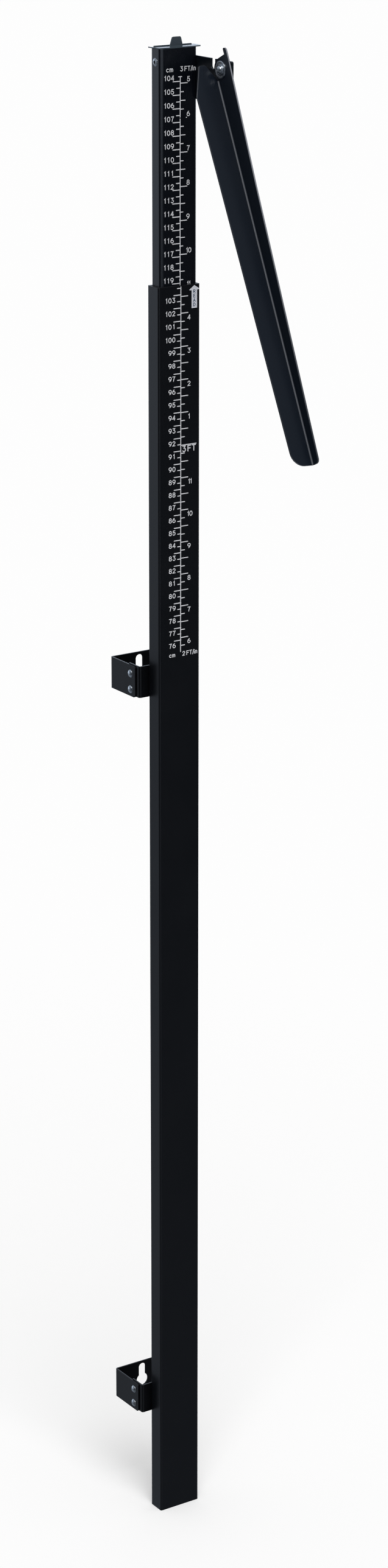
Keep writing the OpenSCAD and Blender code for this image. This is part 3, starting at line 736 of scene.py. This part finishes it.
def inner_scale(white_ink):
    """The moving scale on the inner tube, read downwards at the outer tube's rim."""
    face_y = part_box("inner_tube")[0][1]
    top_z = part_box("inner_tube")[1][2] / MM
    first_mark = top_z - 24.3
    drift_length = 150.0
    line_x = 2.4
    inch_x = 9.7
    line_top = first_mark + 3.35
    break_z = first_mark - 27.0
    half_break = 0.7
    heading_z = first_mark + 7.1

    def drift(z):
        return -PRINT_SHIFT - INNER_DRIFT * min(1.0, (first_mark - z) / drift_length)

    def mark_z(reading):
        return first_mark - (reading - 104 * CM)

    ink_print = Print(face_y, INK_T, drift)
    dot_z = mark_z(42 * INCH)
    dot_w = 0.8
    ink_print.strip([(0.95, line_top), (3.75, line_top)], LINE_W)
    ink_print.strip([(line_x, line_top), (line_x, break_z + half_break)], LINE_W, CROSSING)
    low_end = (line_x, mark_z(200 * CM))
    ink_print.strip([(line_x, break_z - half_break), low_end], LINE_W, CROSSING)
    centimetres(ink_print, line_x, INNER_MARKS, 104, 200, mark_z)
    inches(ink_print, line_x, INNER_MARKS, 164, 312, mark_z, missing=168)
    ink_print.strip([(7.9, dot_z), (8.1, dot_z)], dot_w)
    for number in range(104, 201):
        metric_number(ink_print, number, mark_z(number * CM) + INNER_NUMBER_RISE)
    for inch in range(41, 79):
        inch_number(ink_print, inch, inch_x, mark_z(inch * INCH) + INNER_NUMBER_RISE)
    cm_heading(ink_print, -10.1, -7.1, heading_z, 2.8)
    unit_row(ink_print, "3", 2.25, heading_z)
    ink_print.finish("inner_scale_print", white_ink, "rod")


def read_arrow(white_ink, navy_ink):
    """The arrow that points at the reading, with its word down the shaft."""
    face_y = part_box("outer_tube")[0][1]
    tip_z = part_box("outer_tube")[1][2] / MM - 0.8
    letter_x = 13.6
    letter_h = 2.8
    letter_pen = 0.5
    letter_rise = 0.02
    first_drop = 6.05
    pitch = 3.35
    arrow = Print(face_y, INK_T)
    arrow.shape([(x, tip_z - drop) for x, drop in ARROW_OUTLINE])
    letters = Print(face_y, INK_T + letter_rise)
    for row, sign in enumerate("READ"):
        letters.write(sign, letter_x, tip_z - first_drop - pitch * row, letter_h, letter_pen)
    arrow.finish("read_arrow", white_ink, "case")
    letters.finish("read_arrow_letters", navy_ink, "case")


def add_prints():
    white_ink = ink("scale_ink", (0.63, 0.64, 0.67, 1.0), (0.16, 0.165, 0.18, 1.0), 0.5)
    arrow_ink = ink("arrow_ink", (0.60, 0.62, 0.68, 1.0), (0.4, 0.44, 0.5, 1.0), 0.45)
    navy_ink = ink("arrow_letter_ink", (0.02, 0.055, 0.11, 1.0), (0.05, 0.11, 0.17, 1.0), 0.45)
    outer_scale(white_ink)
    inner_scale(white_ink)
    read_arrow(arrow_ink, navy_ink)


def studio_panels(nodes):
    """Broad soft panels round the object, seen only in its reflections."""
    # Degrees round from -Y, anticlockwise from above, and how bright the wall is there.
    panels = [
        (-180, 0.70), (-160, 0.57), (-146, 0.53), (-116, 0.24), (-84, 0.04), (-14, 0.02),
        (-9, 0.72), (13, 0.72), (19, 0.03), (96, 0.04), (118, 0.60), (142, 1.0), (168, 1.0),
        (180, 0.70),
    ]
    panel_strength = 1.4
    direction = nodes.node("ShaderNodeTexCoord", output="Generated")
    x = nodes.part(direction, "X")
    y = nodes.part(direction, "Y")
    z = nodes.part(direction, "Z")
    round_share = x.maths("ARCTAN2", x, y * -1.0) / (2 * math.pi) + 0.5
    stops = [((turn + 180) / 360, level) for turn, level in panels]
    wall = nodes.node("ShaderNodeValToRGB", {"stops": stops}, {"Fac": round_share})
    around = wall * panel_strength
    low_side = z.step(-0.34, -0.06, 0.2, 1.0)
    high_side = z.step(0.14, 0.32, 1.0, 0.2)
    overhead = z.step(0.25, 0.6, 0.0, 0.28)
    underfoot = z.step(-0.46, -0.3, 0.1, 0.0)
    level = around * low_side * high_side + overhead + underfoot
    tinted = {"Vector": (0.87, 0.98, 1.15), "Scale": level}
    return nodes.node("ShaderNodeVectorMath", {"operation": "SCALE"}, tinted, "Vector")


def studio_world():
    """White to the camera, an even light on surfaces, and the panels in reflections."""
    world = bpy.data.worlds.new("studio")
    bpy.context.scene.world = world
    nodes = Nodes(world)
    reflected = studio_panels(nodes)
    for_camera = nodes.node("ShaderNodeLightPath", output="Is Camera Ray")
    for_gloss = nodes.node("ShaderNodeLightPath", output="Is Glossy Ray")
    light = nodes.mix(for_gloss, grey(0.5), reflected)
    light = nodes.mix(for_camera, light, grey(1.0))
    background = nodes.node("ShaderNodeBackground", {}, {"Color": light, "Strength": 1.0})
    nodes.node("ShaderNodeOutputWorld", {}, {"Surface": background})


def pale_floor():
    """A wide pale floor that takes the shadow and isn't mirrored in the paint."""
    floor_mesh = bpy.data.meshes.new("floor")
    reach = 40.0
    sides = [(-reach, -reach, 0.0), (reach, -reach, 0.0), (reach, reach, 0.0), (-reach, reach, 0.0)]
    floor_mesh.from_pydata(sides, [], [(0, 1, 2, 3)])
    floor = bpy.data.objects.new("floor", floor_mesh)
    bpy.context.scene.collection.objects.link(floor)
    floor_mesh.materials.append(floor_finish())


def floor_finish():
    """Matt and pale, lifted a little towards white for the camera, and clear to reflections."""
    material, nodes = new_finish("pale_floor")
    matt = nodes.node("ShaderNodeBsdfDiffuse", {}, {"Color": grey(0.86)})
    lift = nodes.node("ShaderNodeEmission", {}, {"Color": grey(1.0), "Strength": 0.16})
    seen = nodes.node("ShaderNodeAddShader", {}, {"Shader": matt, "Shader_001": lift})
    for_camera = nodes.node("ShaderNodeLightPath", output="Is Camera Ray")
    sockets = {"Fac": for_camera, "Shader": matt, "Shader_001": seen}
    lit = nodes.node("ShaderNodeMixShader", {}, sockets)
    clear = nodes.node("ShaderNodeBsdfTransparent")
    for_gloss = nodes.node("ShaderNodeLightPath", output="Is Glossy Ray")
    sockets = {"Fac": for_gloss, "Shader": lit, "Shader_001": clear}
    whole = nodes.node("ShaderNodeMixShader", {}, sockets)
    nodes.node("ShaderNodeOutputMaterial", {}, {"Surface": whole})
    return material


def soft_key():
    """A broad lamp from high on the front left."""
    lamp = bpy.data.lights.new("soft_key", "SUN")
    lamp.energy = 1.7
    lamp.angle = math.radians(35)
    holder = bpy.data.objects.new("soft_key", lamp)
    height_angle = 58
    left_angle = 22
    holder.rotation_euler = (math.radians(90 - height_angle), 0.0, math.radians(-left_angle))
    bpy.context.scene.collection.objects.link(holder)


def photo_camera():
    """Solved from the printed scale, the tube's edges and its foot."""
    lens = bpy.data.cameras.new("photo_view")
    lens.sensor_fit = "VERTICAL"
    lens.sensor_height = 36.0
    lens.lens = 82.47
    lens.shift_x = 0.00737
    lens.shift_y = 0.0395
    lens.clip_end = 200.0
    camera = bpy.data.objects.new("photo_view", lens)
    camera.location = (-1.4831, -2.2572, 1.5219)
    down_angle = 19.0652
    turn = -33.4457
    camera.rotation_euler = (math.radians(90 - down_angle), 0.0, math.radians(turn))
    bpy.context.scene.collection.objects.link(camera)
    bpy.context.scene.camera = camera


photo_camera()
dress_cad_parts()
add_prints()
studio_world()
pale_floor()
soft_key()
bpy.context.scene.view_settings.view_transform = "Standard"
